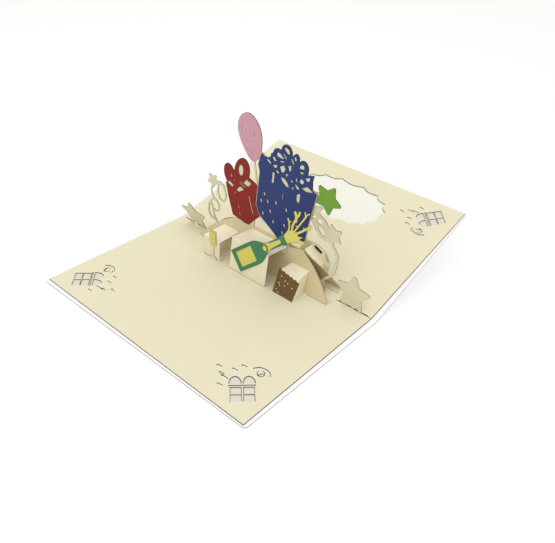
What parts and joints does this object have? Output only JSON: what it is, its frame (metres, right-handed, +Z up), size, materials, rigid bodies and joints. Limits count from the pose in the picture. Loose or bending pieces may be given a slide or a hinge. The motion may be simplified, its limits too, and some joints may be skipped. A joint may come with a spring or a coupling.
{
  "type": "pop-up greeting card",
  "caption": "Folded greeting card standing open, with a scalloped message window, cut corner ornaments and a paper pop-up of gifts, a balloon, a bottle, a cake and stars on its fold.",
  "frame": {"origin": "centre of the underside of the whole card's bounding box", "axes": "+Z up, +Y along the fold towards the end seen on the left, +X across the fold from the level panel to the raised panel"},
  "size_m": [0.1976, 0.154, 0.0883],
  "materials": {
    "cover_card": "matte white card",
    "cream_card": "matte cream card",
    "red_card": "matte dark red card",
    "pink_card": "matte pink card",
    "blue_card": "matte dark blue card",
    "leaf_green_card": "matte leaf green card",
    "bottle_green_card": "matte bottle green card",
    "yellow_card": "matte yellow card",
    "brown_card": "matte brown card"
  },
  "bodies": {
    "root": {"outer_cover": "cover_card", "inner_sheet": "cream_card", "tent": "cream_card", "glass_box": "cream_card", "bottle_box": "cream_card", "cake_box": "cream_card", "cake_paper": "brown_card", "glass_sheet": "cream_card", "glass_drink": "yellow_card", "bottle_gold_paper": "yellow_card", "bottle_green_paper": "bottle_green_card", "middle_sheet": "cream_card", "red_gift_paper": "red_card", "balloon_paper": "pink_card", "green_star_paper": "leaf_green_card", "blue_gift_sheet": "cream_card", "blue_gift_paper": "blue_card", "right_star": "cream_card", "left_star": "cream_card", "rear_gift": "cream_card", "rear_gift_paper": "brown_card"}
  },
  "joints": []
}
